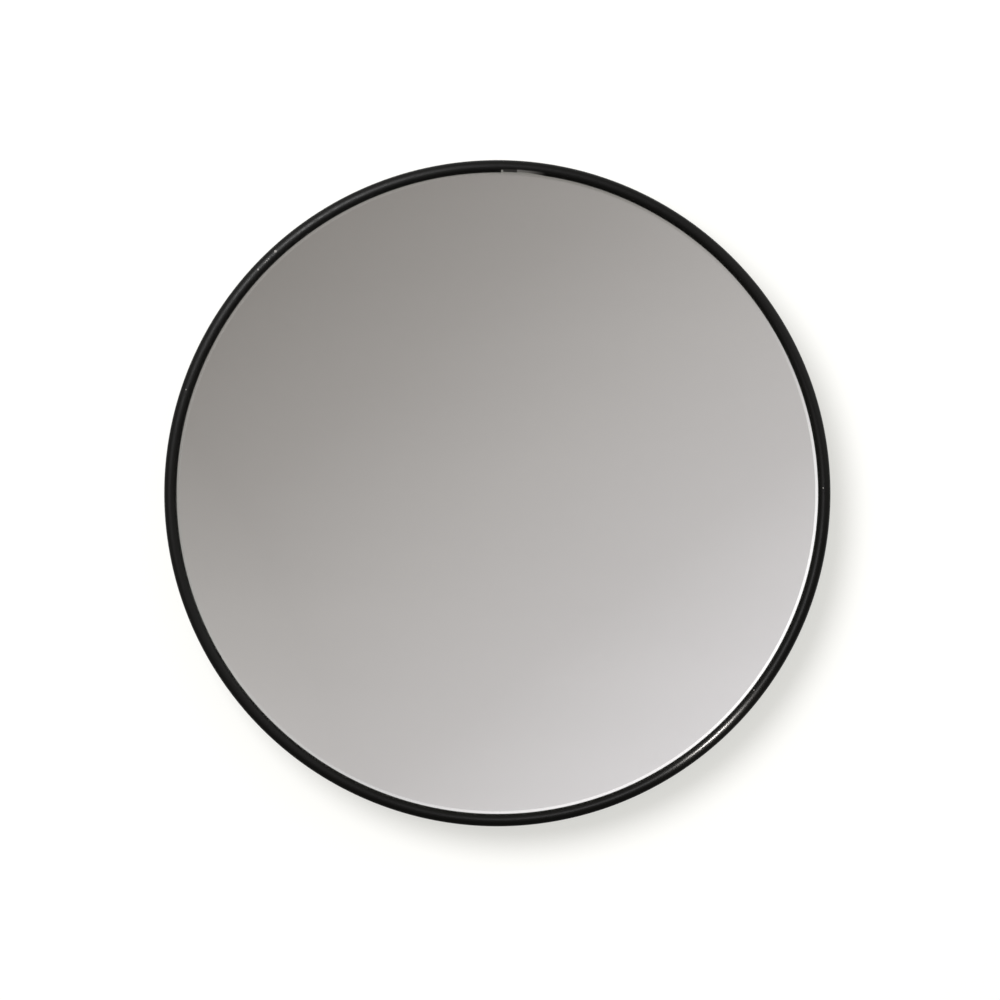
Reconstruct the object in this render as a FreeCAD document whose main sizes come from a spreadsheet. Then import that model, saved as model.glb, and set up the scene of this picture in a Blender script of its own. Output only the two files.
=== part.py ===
import FreeCAD
import Part
import Sketcher
import math
import os

# Magnifying makeup mirror that clings to a smooth wall by three suction cups.
#
# Each piece is drawn lying on its back: x to the right, y up the mirror's face, z out of the wall.
# STANDING then sets it up in the shared frame: +Z up, the wall at y = 0, the glass facing -Y.

# Sizes in millimetres (counts and angles in plain numbers and degrees)

SIZES = [
    ("rim_diameter", "150", "outside of the rim and of the back shell"),
    ("rim_width", "2.8", "black bead as seen from the front"),
    ("rim_wall", "1.5", "skirt behind the bead"),
    ("lip_land", "0.3", "upright edge of the lip between glass and bead"),
    ("lead_in", "0.4", "slope at the mouth of the skirt"),
    ("gate_offset", "0.85", "trimmed gate mark to the right of the top"),
    ("gate_nick", "0.45", "nick where the gate mark starts"),
    ("gate_flat", "3.15", "shaved length beside the nick"),
    ("gate_scoop", "2.5", "deeper shaved length beyond the flat"),
    ("gate_fade", "3.85", "way in which the scoop runs out into the lip"),
    ("gate_depth", "0.6", "nick from the lip outwards"),
    ("ball_radius", "650", "curve of the reflecting front, about five times magnification"),
    ("glass_thickness", "2", "clear glass"),
    ("bevel_width", "1.7", "ground edge of the glass, most of it under the lip"),
    ("bevel_drop", "0.35", "how far the ground edge falls"),
    ("coat_thickness", "0.1", "silver and its paint"),
    ("foam_thickness", "0.8", "ring behind the edge of the glass"),
    ("pad_gap", "6.2", "foam pad clear of the pockets"),
    ("shell_wall", "1.5", "back shell"),
    ("edge_run", "5", "rounded edge of the back shell, measured inwards"),
    ("edge_rise", "1.5", "rounded edge of the back shell, measured forwards"),
    ("edge_land", "0.8", "upright edge of the back shell beside the seam"),
    ("seam_chamfer", "0.25", "bevels that make the seam a fine line"),
    ("spigot_wall", "1.4", "ring of the back shell that plugs into the rim"),
    ("spigot_chamfer", "0.3", "slope at the mouth of the spigot"),
    ("snap_count", "6", "snap beads around the spigot"),
    ("snap_angle", "14", "length of a snap bead around the spigot"),
    ("snap_height", "0.8", "snap bead from back to front"),
    ("snap_reach", "0.3", "how far a snap bead stands out"),
    ("snap_offset", "1.4", "snap bead in front of the seam"),
    ("rib_count", "12", "gussets between floor and spigot"),
    ("rib_width", "1.2", "gusset"),
    ("rib_run", "6", "gusset along the floor"),
    ("rib_step", "1", "gusset below the top of the spigot"),
    ("socket_rise", "1", "keyhole socket above the back"),
    ("socket_round", "0.5", "rounded edge of a socket"),
    ("slide_travel", "10", "way of a cup along its keyhole"),
    ("cup_inset", "33", "middles of the cups inside the edge of the rim"),
    ("cup_diameter", "30", "sealing lip of a cup"),
    ("cup_height", "5", "cup from the wall to its shoulder"),
    ("cup_lip", "0.7", "thickness of the sealing lip"),
    ("cup_land", "1.5", "flat of the sealing lip on the wall"),
    ("dish_depth", "2", "hollow of a cup"),
    ("flank_radius", "30", "bulge of a cup's outside"),
    ("hub_diameter", "13", "shoulder of a cup"),
    ("hub_height", "1.5", "upright side of the shoulder"),
    ("hub_fillet", "0.6", "hollow corner at the foot of the shoulder"),
    ("neck_diameter", "5", "neck of a cup"),
    ("head_diameter", "9.6", "mushroom head of a cup"),
    ("head_thickness", "1.6", "mushroom head of a cup"),
    ("tab_width", "8", "pull tab of a cup"),
    ("tab_length", "5.5", "pull tab beyond the sealing lip"),
    ("tab_lift", "0.2", "pull tab clear of the wall"),
    ("seat_gap", "0.1", "flat faces of cup and socket"),
    ("slot_gap", "0.3", "neck in its slot"),
    ("entry_gap", "0.4", "head in the round end of the keyhole"),
    ("pocket_gap", "1", "head in the pocket of the socket"),
    ("head_room", "0.2", "front of the heads behind the silver"),
    ("glass_gap", "0.2", "edge of the glass in the skirt"),
    ("lip_gap", "0.05", "lip in front of the ground edge"),
    ("glue_gap", "0.02", "glued curved faces"),
    ("spigot_gap", "0.15", "spigot in the skirt"),
    ("snap_gap", "0.2", "snap bead in its groove"),
    ("bite", "0.4", "how deep an added feature roots in the wall it stands on"),
]

doc = FreeCAD.newDocument("MakeupMirror")
sheet = doc.addObject("Spreadsheet::Sheet", "Sizes")
for row, (alias, number, meaning) in enumerate(SIZES, start=1):
    sheet.set(f"A{row}", alias)
    sheet.set(f"B{row}", number)
    sheet.setAlias(f"B{row}", alias)
    sheet.set(f"C{row}", meaning)
doc.recompute()

# Radii, as expressions on the sheet

RIM = "(Sizes.rim_diameter / 2)"
LIP = f"({RIM} - Sizes.rim_width)"
BORE = f"({RIM} - Sizes.rim_wall)"
GLASS = f"({BORE} - Sizes.glass_gap)"
BEVEL = f"({GLASS} - Sizes.bevel_width)"
SPIGOT = f"({BORE} - Sizes.spigot_gap)"
SPIGOT_BORE = f"({SPIGOT} - Sizes.spigot_wall)"
GROOVE = f"({SPIGOT} + Sizes.snap_reach + Sizes.snap_gap)"
FOAM = f"({SPIGOT} - Sizes.spigot_chamfer)"
CUP_RING = f"({RIM} - Sizes.cup_inset)"
CUP = "(Sizes.cup_diameter / 2)"
CUP_HOLLOW = f"({CUP} - Sizes.cup_land)"
HUB = "(Sizes.hub_diameter / 2)"
NECK = "(Sizes.neck_diameter / 2)"
HEAD = "(Sizes.head_diameter / 2)"
SLOT = f"({NECK} + Sizes.slot_gap)"
ENTRY = f"({HEAD} + Sizes.entry_gap)"
POCKET = f"({HEAD} + Sizes.pocket_gap)"
SOCKET = f"({POCKET} + Sizes.shell_wall)"
PAD = f"({CUP_RING} - Sizes.slide_travel - {POCKET} - Sizes.pad_gap)"

# Heights above the wall, from the cups forward to the glass

SOCKET_FACE = "(Sizes.cup_height + Sizes.seat_gap)"
POCKET_FLOOR = f"({SOCKET_FACE} + Sizes.shell_wall)"
HEAD_FOOT = f"({POCKET_FLOOR} + Sizes.seat_gap)"
HEAD_TOP = f"({HEAD_FOOT} + Sizes.head_thickness)"
SHELL_BACK = f"({SOCKET_FACE} + Sizes.socket_rise)"
SHELL_FLOOR = f"({SHELL_BACK} + Sizes.shell_wall)"
SHELL_EDGE = f"({SHELL_BACK} + Sizes.edge_rise)"
SEAM = f"({SHELL_EDGE} + Sizes.edge_land)"
SNAP = f"({SEAM} + Sizes.snap_offset)"
COAT_BACK = f"({HEAD_TOP} + Sizes.head_room)"

# The glass, the silver and the foams share one centre of curvature in front of the mirror

FRONT_BALL = "Sizes.ball_radius"
GLASS_BALL = f"({FRONT_BALL} + Sizes.glass_thickness)"
SILVER_BALL = f"({GLASS_BALL} + Sizes.glue_gap)"
COAT_BALL = f"({SILVER_BALL} + Sizes.coat_thickness)"
FOAM_BALL = f"({COAT_BALL} + Sizes.glue_gap)"
CENTRE = f"({COAT_BACK} + {COAT_BALL})"


def ball_height(ball, radius="0"):
    """Height of a ball's near side at a distance from the axis: centre - sqrt(ball^2 - radius^2)."""
    return f"({CENTRE} - sqrt({ball}^2 - {radius}^2))"


def bevel_height(radius):
    """Height of the ground edge of the glass: it falls in proportion to the way outwards."""
    return f"({BEVEL_TOP} - Sizes.bevel_drop * ({radius} - {BEVEL}) / Sizes.bevel_width)"


def dome_radius(run, rise):
    """Radius of an arc that leaves level and falls by rise over run: (run^2 + rise^2) / (2 rise)."""
    return f"(({run}^2 + {rise}^2) / (2 * {rise}))"


BEVEL_TOP = ball_height(FRONT_BALL, BEVEL)
LIP_SEAT = f"({bevel_height(LIP)} + Sizes.lip_gap)"
BORE_SEAT = f"({bevel_height(BORE)} + Sizes.lip_gap)"
BEAD_FOOT = f"({LIP_SEAT} + Sizes.lip_land)"
SPIGOT_TOP = f"({ball_height(FOAM_BALL, SPIGOT_BORE)} - Sizes.foam_thickness)"

# Drawing helpers

LEFT = 1
RIGHT = -1
STANDING = FreeCAD.Rotation(FreeCAD.Vector(1, 0, 0), 90)


def value(expression):
    """What an expression comes to with the sizes of the sheet."""
    return float(sheet.evalExpression(expression))


def place(sketch, edge, point, where):
    """Ties a point of an edge to a pair of expressions, measured from the sketch's origin."""
    for kind, expression, axis in zip(("DistanceX", "DistanceY"), where, (-2, -1)):
        if expression == "0":
            sketch.addConstraint(Sketcher.Constraint("PointOnObject", edge, point, axis))
        else:
            tie = Sketcher.Constraint(kind, -1, 1, edge, point, value(expression))
            sketch.setExpression(f"Constraints[{sketch.addConstraint(tie)}]", expression)


def size_arc(sketch, edge, radius):
    """Ties the radius of an arc or a circle to an expression."""
    tie = Sketcher.Constraint("Radius", edge, value(radius))
    sketch.setExpression(f"Constraints[{sketch.addConstraint(tie)}]", radius)


def arc_between(start, end, radius, side):
    """Arc from start to end whose centre lies to the LEFT or RIGHT of the way."""
    chord = end - start
    rise = math.sqrt(max(radius**2 - (chord.Length / 2) ** 2, 0))
    across = FreeCAD.Vector(-chord.y, chord.x, 0).normalize() * (side * rise)
    centre = (start + end) / 2 + across
    ends = (start, end) if side == LEFT else (end, start)
    angles = [math.atan2(point.y - centre.y, point.x - centre.x) for point in ends]
    return Part.ArcOfCircle(Part.Circle(centre, FreeCAD.Vector(0, 0, 1), radius), *angles)


def outline(sketch, corners, arcs={}):
    """Closed outline through corners, each a pair of expressions.

    arcs maps a corner's number to the edge that leaves it, as (radius, side).
    """
    points = [FreeCAD.Vector(value(x), value(y), 0) for x, y in corners]
    edges = []
    for number, start in enumerate(points):
        end = points[(number + 1) % len(points)]
        if number in arcs:
            radius, side = arcs[number]
            edge = sketch.addGeometry(arc_between(start, end, value(radius), side), False)
            edges.append((edge, 1, 2) if side == LEFT else (edge, 2, 1))
        else:
            edges.append((sketch.addGeometry(Part.LineSegment(start, end), False), 1, 2))
    for number, (edge, first, last) in enumerate(edges):
        follower, follower_first, _ = edges[(number + 1) % len(edges)]
        sketch.addConstraint(Sketcher.Constraint("Coincident", edge, last, follower, follower_first))
        place(sketch, edge, first, corners[number])
        if number in arcs:
            size_arc(sketch, edge, arcs[number][0])


def slot_outline(sketch, upper, lower, radius):
    """Upright slot with round ends about two points."""
    up, down = [FreeCAD.Vector(value(x), value(y), 0) for x, y in (upper, lower)]
    half = value(radius)
    flat = FreeCAD.Vector(0, 0, 1)
    side = FreeCAD.Vector(half, 0, 0)
    top = sketch.addGeometry(Part.ArcOfCircle(Part.Circle(up, flat, half), 0, math.pi), False)
    left = sketch.addGeometry(Part.LineSegment(up - side, down - side), False)
    foot = sketch.addGeometry(Part.ArcOfCircle(Part.Circle(down, flat, half), math.pi, 2 * math.pi), False)
    right = sketch.addGeometry(Part.LineSegment(down + side, up + side), False)
    ring = [top, left, foot, right]
    for number, edge in enumerate(ring):
        follower = ring[(number + 1) % len(ring)]
        sketch.addConstraint(Sketcher.Constraint("Tangent", edge, 2, follower, 1))
    place(sketch, top, 3, upper)
    place(sketch, foot, 3, lower)
    size_arc(sketch, top, radius)


def origin_part(body, role):
    """Plane or axis of a body's own origin."""
    return next(part for part in body.Origin.OriginFeatures if part.Role == role)


def new_body(label):
    """Empty body that stands up in the shared frame."""
    body = doc.addObject("PartDesign::Body", label)
    body.Label = label
    body.Placement = FreeCAD.Placement(FreeCAD.Vector(), STANDING)
    return body


def new_sketch(body, name, plane, height=None):
    """Sketch on one of the body's own planes, lifted to a height when there is one."""
    sketch = body.newObject("Sketcher::SketchObject", f"{body.Name}_{name}")
    sketch.AttachmentSupport = [(origin_part(body, plane), "")]
    sketch.MapMode = "FlatFace"
    if height:
        sketch.setExpression("AttachmentOffset.Base.z", height)
    return sketch


def turned(body, name, corners, arcs={}, angle=None):
    """Adds an outline of radii and heights, turned about the body's axis."""
    sketch = new_sketch(body, f"{name}_section", "XZ_Plane")
    outline(sketch, corners, arcs)
    feature = body.newObject("PartDesign::Revolution", f"{body.Name}_{name}")
    feature.Profile = sketch
    feature.ReferenceAxis = (sketch, ["V_Axis"])
    feature.Angle = 360
    if angle:
        feature.Midplane = True
        feature.setExpression("Angle", angle)
    doc.recompute()
    return feature


def padded(body, name, sketch, length, centred=False):
    """Adds the sketched outlines, raised by a length."""
    feature = body.newObject("PartDesign::Pad", f"{body.Name}_{name}")
    feature.Profile = sketch
    feature.Midplane = centred
    feature.setExpression("Length", length)
    doc.recompute()
    return feature


def sunk(body, name, sketch, depth):
    """Cuts the sketched outlines forward from their plane and checks that something went."""
    before = body.Shape.Volume
    feature = body.newObject("PartDesign::Pocket", f"{body.Name}_{name}")
    feature.Profile = sketch
    feature.Reversed = True
    feature.setExpression("Length", depth)
    doc.recompute()
    if body.Shape.Volume >= before:
        raise RuntimeError(f"{feature.Name} cuts nothing")
    return feature


def ringed(body, feature, count):
    """Repeats a feature evenly about the body's axis."""
    pattern = body.newObject("PartDesign::PolarPattern", f"{feature.Name}_ring")
    pattern.Originals = [feature]
    pattern.Axis = (origin_part(body, "Z_Axis"), [""])
    pattern.Angle = 360
    pattern.setExpression("Occurrences", count)
    body.Tip = pattern
    doc.recompute()
    return pattern


def rounded(body, name, base, radius, wanted):
    """Rounds the edges of a feature that a test picks out."""
    names = [f"Edge{number}" for number, edge in enumerate(base.Shape.Edges, start=1) if wanted(edge)]
    feature = body.newObject("PartDesign::Fillet", f"{body.Name}_{name}")
    feature.Base = (base, names)
    feature.setExpression("Radius", radius)
    doc.recompute()
    return feature


# Front rim: half-round bead, lip over the glass, skirt with the groove for the snap beads

BEAD = "(Sizes.rim_width / 2)"
SNAP_TALL = "(Sizes.snap_height / 2)"
SNAP_FLAT = "(Sizes.snap_height / 4)"

front_rim = new_body("front_rim")
turned(
    front_rim,
    "ring",
    [
        (f"{BORE} + Sizes.lead_in", SEAM),
        (f"{RIM} - Sizes.seam_chamfer", SEAM),
        (RIM, f"{SEAM} + Sizes.seam_chamfer"),
        (RIM, BEAD_FOOT),
        (f"{RIM} - {BEAD}", f"{BEAD_FOOT} + {BEAD}"),
        (LIP, BEAD_FOOT),
        (LIP, LIP_SEAT),
        (BORE, BORE_SEAT),
        (BORE, f"{SNAP} + {SNAP_TALL} + Sizes.snap_gap"),
        (GROOVE, f"{SNAP} + {SNAP_FLAT} + Sizes.snap_gap"),
        (GROOVE, f"{SNAP} - {SNAP_FLAT} - Sizes.snap_gap"),
        (BORE, f"{SNAP} - {SNAP_TALL} - Sizes.snap_gap"),
        (BORE, f"{SEAM} + Sizes.lead_in"),
    ],
    {3: (BEAD, LEFT), 4: (BEAD, LEFT)},
)

# The moulding gate sat on the lip, right of the top: trimming left a nick, a shaved flat and a scoop


def on_ring(x, radius):
    """Corner at a distance x from the upright axis and at a radius: (x, sqrt(radius^2 - x^2))."""
    return x, f"sqrt(({radius})^2 - ({x})^2)"


NICK_END = "(Sizes.gate_offset + Sizes.gate_nick)"
FLAT_END = f"({NICK_END} + Sizes.gate_flat)"
SCOOP_END = f"({FLAT_END} + Sizes.gate_scoop)"
FADE_END = f"({SCOOP_END} + Sizes.gate_fade)"
NICK_RING = f"({LIP} + Sizes.gate_depth)"
FLAT_RING = f"({LIP} + Sizes.gate_depth / 4)"
SCOOP_RING = f"({LIP} + Sizes.gate_depth / 2)"
gate_sketch = new_sketch(front_rim, "gate_outline", "XY_Plane", SEAM)
outline(
    gate_sketch,
    [
        ("Sizes.gate_offset", f"{LIP} - Sizes.bite"),
        on_ring(FADE_END, f"{LIP} - Sizes.lip_gap"),
        on_ring(SCOOP_END, SCOOP_RING),
        on_ring(FLAT_END, SCOOP_RING),
        on_ring(FLAT_END, FLAT_RING),
        on_ring(NICK_END, FLAT_RING),
        on_ring(NICK_END, NICK_RING),
        on_ring("Sizes.gate_offset", NICK_RING),
    ],
)
sunk(front_rim, "gate_mark", gate_sketch, f"{BEAD_FOOT} + {BEAD} - {SEAM}")

# Concave glass with its ground edge

mirror_glass = new_body("mirror_glass")
turned(
    mirror_glass,
    "disc",
    [
        ("0", ball_height(FRONT_BALL)),
        (BEVEL, BEVEL_TOP),
        (GLASS, bevel_height(GLASS)),
        (GLASS, ball_height(GLASS_BALL, GLASS)),
        ("0", ball_height(GLASS_BALL)),
    ],
    {0: (FRONT_BALL, LEFT), 3: (GLASS_BALL, RIGHT)},
)

# Silver and paint behind the glass

silver_backing = new_body("silver_backing")
turned(
    silver_backing,
    "layer",
    [
        ("0", ball_height(SILVER_BALL)),
        (GLASS, ball_height(SILVER_BALL, GLASS)),
        (GLASS, ball_height(COAT_BALL, GLASS)),
        ("0", ball_height(COAT_BALL)),
    ],
    {0: (SILVER_BALL, LEFT), 2: (COAT_BALL, RIGHT)},
)

# Foams that carry the glass

foam_ring = new_body("foam_ring")
turned(
    foam_ring,
    "ring",
    [
        (SPIGOT_BORE, SPIGOT_TOP),
        (FOAM, SPIGOT_TOP),
        (FOAM, ball_height(FOAM_BALL, FOAM)),
        (SPIGOT_BORE, ball_height(FOAM_BALL, SPIGOT_BORE)),
    ],
    {2: (FOAM_BALL, RIGHT)},
)

centre_foam_pad = new_body("centre_foam_pad")
turned(
    centre_foam_pad,
    "disc",
    [
        ("0", SHELL_FLOOR),
        (PAD, SHELL_FLOOR),
        (PAD, ball_height(FOAM_BALL, PAD)),
        ("0", ball_height(FOAM_BALL)),
    ],
    {2: (FOAM_BALL, RIGHT)},
)

# Back shell: dished plate with a spigot that plugs into the rim

back_shell = new_body("back_shell")
turned(
    back_shell,
    "plate",
    [
        ("0", SHELL_BACK),
        (f"{RIM} - Sizes.edge_run", SHELL_BACK),
        (RIM, SHELL_EDGE),
        (RIM, f"{SEAM} - Sizes.seam_chamfer"),
        (f"{RIM} - Sizes.seam_chamfer", SEAM),
        (SPIGOT, SEAM),
        (SPIGOT, f"{SPIGOT_TOP} - Sizes.spigot_chamfer"),
        (FOAM, SPIGOT_TOP),
        (SPIGOT_BORE, SPIGOT_TOP),
        (SPIGOT_BORE, SHELL_FLOOR),
        ("0", SHELL_FLOOR),
    ],
    {1: (dome_radius("Sizes.edge_run", "Sizes.edge_rise"), LEFT)},
)

# Snap beads around the spigot and gussets inside it

snap_bead = turned(
    back_shell,
    "snap_bead",
    [
        (f"{SPIGOT} - Sizes.bite", f"{SNAP} - {SNAP_TALL}"),
        (f"{SPIGOT} + Sizes.snap_reach", f"{SNAP} - {SNAP_FLAT}"),
        (f"{SPIGOT} + Sizes.snap_reach", f"{SNAP} + {SNAP_FLAT}"),
        (f"{SPIGOT} - Sizes.bite", f"{SNAP} + {SNAP_TALL}"),
    ],
    angle="Sizes.snap_angle",
)
ringed(back_shell, snap_bead, "Sizes.snap_count")

gusset_sketch = new_sketch(back_shell, "gusset_section", "XZ_Plane")
outline(
    gusset_sketch,
    [
        (f"{SPIGOT_BORE} - Sizes.rib_run", SHELL_FLOOR),
        (f"{SPIGOT_BORE} - Sizes.rib_run", f"{SHELL_FLOOR} - Sizes.bite"),
        (f"{SPIGOT_BORE} + Sizes.bite", f"{SHELL_FLOOR} - Sizes.bite"),
        (f"{SPIGOT_BORE} + Sizes.bite", f"{SPIGOT_TOP} - Sizes.rib_step"),
        (SPIGOT_BORE, f"{SPIGOT_TOP} - Sizes.rib_step"),
    ],
)
gusset = padded(back_shell, "gusset", gusset_sketch, "Sizes.rib_width", centred=True)
ringed(back_shell, gusset, "Sizes.rib_count")

# Keyhole sockets: raised pads, pockets for the mushroom heads, slots and round entries

CUP_ANGLES = {"top": 90, "left": 210, "right": 330}


def seat(angle, drop="0"):
    """Middle of a cup on the ring of cups, moved down by a drop."""
    x = f"({CUP_RING} * cos({angle} deg))"
    y = f"({CUP_RING} * sin({angle} deg) - {drop})"
    return x, y


def keyhole_slots(name, height, radius):
    """Sketch with an upright slot below each cup's seat, as long as the cup's travel."""
    sketch = new_sketch(back_shell, name, "XY_Plane", height)
    for angle in CUP_ANGLES.values():
        slot_outline(sketch, seat(angle), seat(angle, "Sizes.slide_travel"), radius)
    return sketch


def on_socket_face(edge):
    """True for the edges that lie in the plane of the socket faces."""
    return all(abs(vertex.Z - value(SOCKET_FACE)) < 1e-4 for vertex in edge.Vertexes)


socket_pads = padded(
    back_shell,
    "sockets",
    keyhole_slots("socket_outlines", SOCKET_FACE, SOCKET),
    "Sizes.socket_rise + Sizes.shell_wall / 2",
)
rounded(back_shell, "socket_rounds", socket_pads, "Sizes.socket_round", on_socket_face)
WALL_AND_RISE = "Sizes.shell_wall + Sizes.socket_rise"
sunk(back_shell, "pockets", keyhole_slots("pocket_outlines", POCKET_FLOOR, POCKET), WALL_AND_RISE)
sunk(back_shell, "slots", keyhole_slots("slot_outlines", SOCKET_FACE, SLOT), WALL_AND_RISE)

entry_sketch = new_sketch(back_shell, "entry_outlines", "XY_Plane", SOCKET_FACE)
for angle in CUP_ANGLES.values():
    middle = seat(angle, "Sizes.slide_travel")
    ring = Part.Circle(FreeCAD.Vector(*map(value, middle), 0), FreeCAD.Vector(0, 0, 1), value(ENTRY))
    edge = entry_sketch.addGeometry(ring, False)
    place(entry_sketch, edge, 3, middle)
    size_arc(entry_sketch, edge, ENTRY)
sunk(back_shell, "entries", entry_sketch, WALL_AND_RISE)

# Suction cups: sealing lip, dish, shoulder, neck and mushroom head in one moulding


def suction_cup(label, angle):
    """One cup, its axis through the seat and its pull tab pointing away from the middle."""
    body = new_body(label)
    head_side = f"({HEAD_FOOT} + Sizes.head_thickness * 0.4)"
    hub_foot = "(Sizes.cup_height - Sizes.hub_height)"
    moulding = turned(
        body,
        "moulding",
        [
            (CUP_HOLLOW, "0"),
            (CUP, "0"),
            (CUP, "Sizes.cup_lip"),
            (HUB, hub_foot),
            (HUB, "Sizes.cup_height"),
            (NECK, "Sizes.cup_height"),
            (NECK, HEAD_FOOT),
            (HEAD, HEAD_FOOT),
            (HEAD, head_side),
            ("0", HEAD_TOP),
            ("0", "Sizes.dish_depth"),
        ],
        {
            2: ("Sizes.flank_radius", LEFT),
            8: (dome_radius(HEAD, "(Sizes.head_thickness * 0.6)"), LEFT),
            10: (dome_radius(CUP_HOLLOW, "Sizes.dish_depth"), RIGHT),
        },
    )

    def at_hub_foot(edge):
        """True for the circle where the dish meets the upright shoulder."""
        return all(
            abs(vertex.Z - value(hub_foot)) < 1e-4 and abs(math.hypot(vertex.X, vertex.Y) - value(HUB)) < 1e-4
            for vertex in edge.Vertexes
        )

    rounded(body, "hub_round", moulding, "Sizes.hub_fillet", at_hub_foot)

    half = "(Sizes.tab_width / 2)"
    root = f"({CUP} - Sizes.cup_land / 2)"
    tip = f"({CUP} + Sizes.tab_length - {half})"
    tab = new_sketch(body, "tab_outline", "XY_Plane", "Sizes.tab_lift")
    corners = [(f"-{half}", root), (half, root), (half, tip), ("0", f"{tip} + {half}"), (f"-{half}", tip)]
    outline(tab, corners, {2: (half, LEFT), 3: (half, LEFT)})
    padded(body, "tab", tab, "Sizes.cup_lip")

    x, y = seat(angle)
    turn = FreeCAD.Rotation(FreeCAD.Vector(0, 0, 1), angle - 90)
    body.Placement = FreeCAD.Placement(FreeCAD.Vector(value(x), 0, value(y)), STANDING.multiply(turn))
    body.setExpression("Placement.Base.x", x)
    body.setExpression("Placement.Base.z", y)
    return body


cups = [suction_cup(f"suction_cup_{side}", angle) for side, angle in CUP_ANGLES.items()]

# Checks, then one file for each piece

doc.recompute()
os.makedirs("parts", exist_ok=True)
for item in doc.Objects:
    if "Invalid" in item.State or "Error" in item.State:
        raise RuntimeError(f"{item.Label} is not built: {item.State}")

pieces = [front_rim, mirror_glass, silver_backing, foam_ring, centre_foam_pad, back_shell, *cups]
for piece in pieces:
    shape = piece.Shape
    if shape.isNull() or not shape.isValid() or len(shape.Solids) != 1:
        raise RuntimeError(f"{piece.Label} is not one valid solid")
    shape.exportStep(f"parts/{piece.Label}.step")
    box = shape.BoundBox
    print(f"{piece.Label}: {shape.Volume:.1f} mm3, {box.XLength:.2f} x {box.YLength:.2f} x {box.ZLength:.2f} mm")
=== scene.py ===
# %% [markdown]
# # A round magnifying mirror on a white wall
# The part was constructed in another program and packed with a fixed frame: metres, +Z up, the wall at
# y = 0 and the glass facing -Y. This lesson dresses that frame. It shows how a handful of turned
# profiles, a few procedural finishes and some carefully aimed lamps give a product photograph of a
# shiny black ring around a concave mirror.

# %% load the frame
import math

import bmesh
import bpy
import numpy as np
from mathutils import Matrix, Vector


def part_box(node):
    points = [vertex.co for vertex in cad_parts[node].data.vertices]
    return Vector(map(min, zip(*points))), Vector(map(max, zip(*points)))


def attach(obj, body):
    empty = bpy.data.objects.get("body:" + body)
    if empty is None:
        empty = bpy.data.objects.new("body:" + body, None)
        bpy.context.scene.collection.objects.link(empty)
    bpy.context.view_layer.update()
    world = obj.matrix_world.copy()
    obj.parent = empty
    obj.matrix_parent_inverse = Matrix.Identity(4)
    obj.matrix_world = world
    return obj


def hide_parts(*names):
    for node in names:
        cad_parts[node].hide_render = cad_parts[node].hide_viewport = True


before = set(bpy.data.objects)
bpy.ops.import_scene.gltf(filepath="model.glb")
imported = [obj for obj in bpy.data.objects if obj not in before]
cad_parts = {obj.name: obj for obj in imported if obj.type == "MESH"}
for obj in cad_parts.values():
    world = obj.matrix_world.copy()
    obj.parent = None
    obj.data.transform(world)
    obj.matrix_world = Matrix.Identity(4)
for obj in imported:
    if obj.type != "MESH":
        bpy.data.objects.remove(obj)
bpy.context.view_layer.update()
scene = bpy.context.scene
print("nodes:", ", ".join(sorted(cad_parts)))

# %% [markdown]
# ## Measures shared by the pieces
# The outer sizes are read from the frame, so the dressed pieces keep to the construction. "Height" is
# the distance out of the wall. The few sizes that a box can't show, such as the curve of the glass, are
# written once here.

# %% measures
MM = 0.001
rim_low, rim_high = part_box("front_rim")
glass_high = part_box("mirror_glass")[1]
RIM_RADIUS = rim_high.x
RIM_FRONT = -rim_low.y
SEAM = -rim_high.y
GLASS_RADIUS = glass_high.x
GLASS_BACK = -glass_high.y
BALL_RADIUS = 0.650
GLASS_THICKNESS = 0.002
BEVEL_WIDTH = 0.0017
BEVEL_DROP = 0.00035
GLUE_THICKNESS = 0.00002
SILVER_THICKNESS = 0.0001
BOWL_POINTS = 40
ball_centre = GLASS_BACK + BALL_RADIUS + GLASS_THICKNESS
print(f"rim radius {1000 * RIM_RADIUS:.2f} mm, front {1000 * RIM_FRONT:.2f} mm out of the wall")

# %% [markdown]
# ## Turned pieces
# Nearly everything on this mirror was turned, moulded or bent about one axis, so one helper does most
# of the modelling. It takes an outline of (radius, height) pairs and sweeps it around the axis on a
# grid. Points that fall together, at the axis or where the sweep closes, are welded, so the skin is
# closed and its normals can be turned outwards. Edges where the outline bends by more than a few
# degrees are marked sharp, so flats stay flat.


# %% turned pieces
def line(start, end, count=2):
    """Points on a straight line: start + (end - start) t, for t from 0 to 1."""
    t = np.linspace(0, 1, count)[:, None]
    return np.array(start) + (np.array(end) - np.array(start)) * t


def arc(centre, radius, first, last, count):
    """Points on a circle: centre + radius (cos a, sin a), for angles a in degrees."""
    angle = np.radians(np.linspace(first, last, count))[:, None]
    return np.array(centre) + radius * np.hstack([np.cos(angle), np.sin(angle)])


def new_piece(name, points, faces, sharp=10):
    """Closed object from points and faces: welded, smooth, with sharp edges above an angle in degrees."""
    mesh = bpy.data.meshes.new(name)
    mesh.from_pydata(points.reshape(-1, 3), [], faces)
    work = bmesh.new()
    work.from_mesh(mesh)
    bmesh.ops.remove_doubles(work, verts=work.verts, dist=1e-7)
    bmesh.ops.recalc_face_normals(work, faces=work.faces)
    work.to_mesh(mesh)
    work.free()
    mesh.shade_smooth()
    mesh.set_sharp_from_angle(angle=math.radians(sharp))
    piece = bpy.data.objects.new(name, mesh)
    scene.collection.objects.link(piece)
    print(f"{name}: {len(mesh.vertices)} points, {len(mesh.polygons)} faces")
    return piece


def grid_faces(rows, columns):
    """Corner numbers of the quads of a grid of points, counted row by row."""
    index = np.arange(rows * columns).reshape(rows, columns)
    corners = [index[:-1, :-1], index[1:, :-1], index[1:, 1:], index[:-1, 1:]]
    return np.stack(corners, -1).reshape(-1, 4).tolist()


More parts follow.
